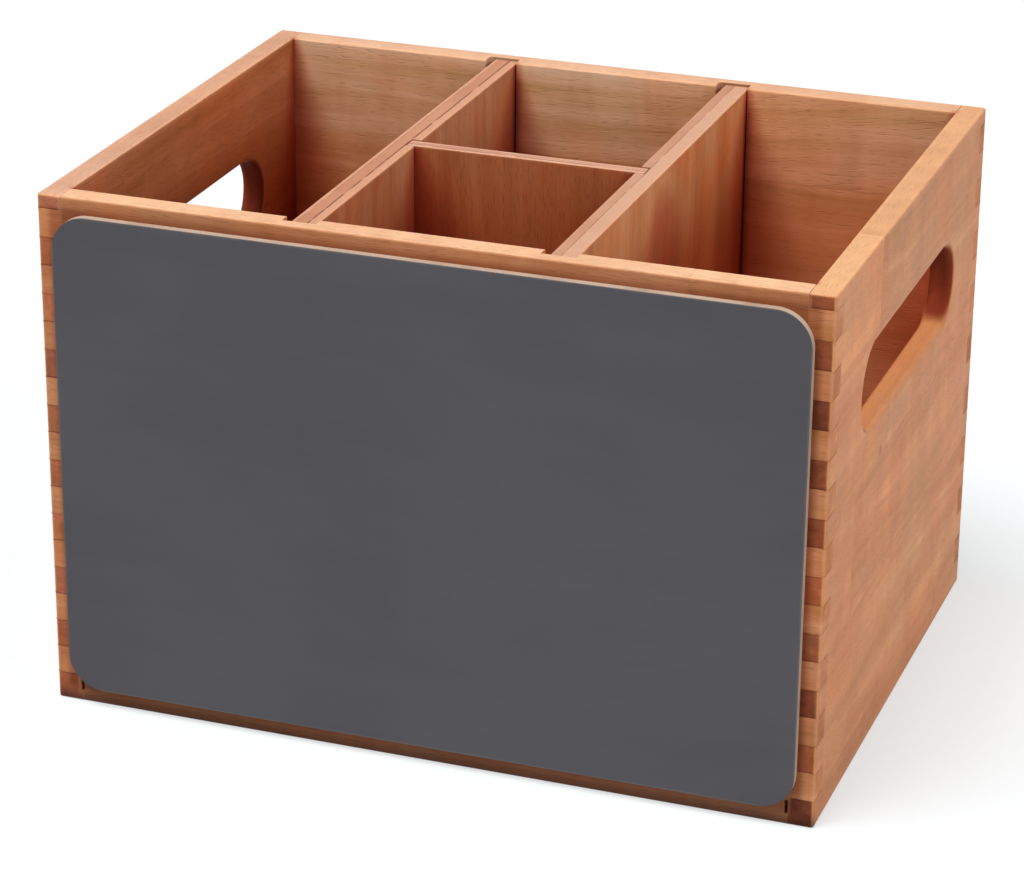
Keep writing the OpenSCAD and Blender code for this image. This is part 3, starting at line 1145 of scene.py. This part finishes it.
for piece, node, slot, shared_look, own_look in board_looks:
    finish = hardwood(node + "_hardwood", *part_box(node), **shared_look, **own_look)
    dress(piece, node, "box", finish)

# %% [markdown]
# ## Dressing the sheets
# The glue lines sit where each sheet's edge shows them in the photograph. A
# share below 0 puts a line outside the sheet, so that only one is seen.

# %% Plywood sheets and writing panel
thin_layers = dict(first_glue=0.30, second_glue=0.72)
by_long_divider = dict(neighbours=end_boards + ["cross_divider"], loose=end_boards)
sheet_finishes = [
    (left_divider, "left_divider", "left_divider", "divider_plywood", "ZYX", dict(
        seed=2.3, first_glue=0.37, second_glue=0.83, flip=True,
        face_tint=rgb(0.84, 0.83, 0.87), edge_tint=rgb(0.87, 0.76, 0.66), **by_long_divider)),
    (right_divider, "right_divider", "right_divider", "divider_plywood", "ZYX", dict(
        seed=4.206, first_glue=-0.30, second_glue=0.40,
        face_tint=rgb(1.03, 1.07, 1.00), edge_tint=rgb(0.88, 0.85, 0.81), **by_long_divider)),
    (cross_divider, "cross_divider", "cross_divider", "thin_plywood", "ZXY", dict(
        seed=8.1, face_tint=rgb(0.72, 0.54, 0.44), edge_tint=rgb(0.94, 0.92, 0.94),
        neighbours=long_dividers, **thin_layers)),
    (bottom, "bottom_panel", "box", "thin_plywood", "XYZ", dict(
        seed=6.4, face_tint=rgb(0.84, 0.75, 0.70), edge_tint=PLAIN,
        neighbours=end_boards + side_boards, **thin_layers)),
]
for piece, node, body, slot, order, look in sheet_finishes:
    dress(piece, node, body, plywood(node + "_plywood", order, *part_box(node), **look))

slate = writing_sheet("matt_slate", *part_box("panel_writing_sheet"))
dress(core_plate, "panel_core", "box", panel_core("pale_fibre_board"))
dress(sheet_plate, "panel_writing_sheet", "box", slate)

# %% [markdown]
# ## Studio
# The floor is pale and wide enough to fill every view. For rays from the camera,
# straight or by way of a reflection, it also glows a little, which lifts it to
# the white of a catalogue page. It lights nothing by that, and its diffuse part
# still takes the soft shadow of the box.

# %% Floor
FLOOR_SIZE = 30.0
FLOOR_GAP = 0.02 * MM
FLOOR_LOW = rgb(0.365, 0.395, 0.405)
FLOOR_HIGH = rgb(0.385, 0.415, 0.425)
FLOOR_LIFT = 0.54


def seen_rays(tree):
    """1 for rays that show a thing, straight or by a reflection, and 0 for soft light."""
    rays = tree.nodes.new("ShaderNodeLightPath").outputs
    mirrored = maths("MAXIMUM", rays["Is Glossy Ray"], rays["Is Transmission Ray"])
    return maths("MAXIMUM", rays["Is Camera Ray"], mirrored)


bpy.ops.mesh.primitive_plane_add(size=FLOOR_SIZE, location=(0, 0, BOX_LOW.z - FLOOR_GAP))
floor = bpy.context.active_object
floor.name = "studio_floor"
paper, shader, place, _ = new_material("studio_paper")
fine = noise(place, 180.0, detail=3.0)
feed(shader.inputs["Base Color"], blend(fine, FLOOR_LOW, FLOOR_HIGH))
shader.inputs["Roughness"].default_value = 0.9
shader.inputs["Specular IOR Level"].default_value = 0.0
shader.inputs["Emission Color"].default_value = PLAIN
feed(shader.inputs["Emission Strength"], times(seen_rays(paper.node_tree), FLOOR_LIFT))
floor.data.materials.append(paper)
print("floor is", FLOOR_SIZE, "m wide")

# %% [markdown]
# ## Light
# Suns light near and far alike, so the paper stays even. A broad one from high up,
# in front and to the left, brightens the rims. A weaker one from the right lifts
# the side board, and the world fills the shadows.

# %% Lamps and world
WORLD_FILL = 0.30


def sun(name, strength, spread_deg, azimuth_deg, height_deg):
    """A sun that shines from an azimuth, 0 being the front and 90 the right, and a height."""
    bpy.ops.object.light_add(type="SUN", location=(0, 0, 2))
    lamp = bpy.context.active_object
    lamp.name = name
    lamp.data.energy = strength
    lamp.data.angle = math.radians(spread_deg)
    azimuth, height = math.radians(azimuth_deg), math.radians(height_deg)
    level = Vector((math.sin(azimuth), -math.cos(azimuth), 0)) * math.cos(height)
    towards = level + Vector((0, 0, math.sin(height)))
    lamp.rotation_euler = towards.to_track_quat("Z", "Y").to_euler()
    print(name, "has strength", strength, "and stands", height_deg, "degrees high")


sun("key_sun", strength=2.9, spread_deg=38, azimuth_deg=-35, height_deg=68)
sun("right_sun", strength=1.2, spread_deg=40, azimuth_deg=78, height_deg=22)

world = bpy.data.worlds.new("studio_air")
bpy.context.scene.world = world
world.use_nodes = True
air = next(node for node in world.node_tree.nodes if node.type == "BACKGROUND")
air.inputs["Color"].default_value = PLAIN
feed(air.inputs["Strength"], maths("MAXIMUM", seen_rays(world.node_tree), WORLD_FILL))

# %% [markdown]
# ## Finishing
# The last step sets how colours are shown.

# %% Colour handling
bpy.context.scene.view_settings.view_transform = "Standard"
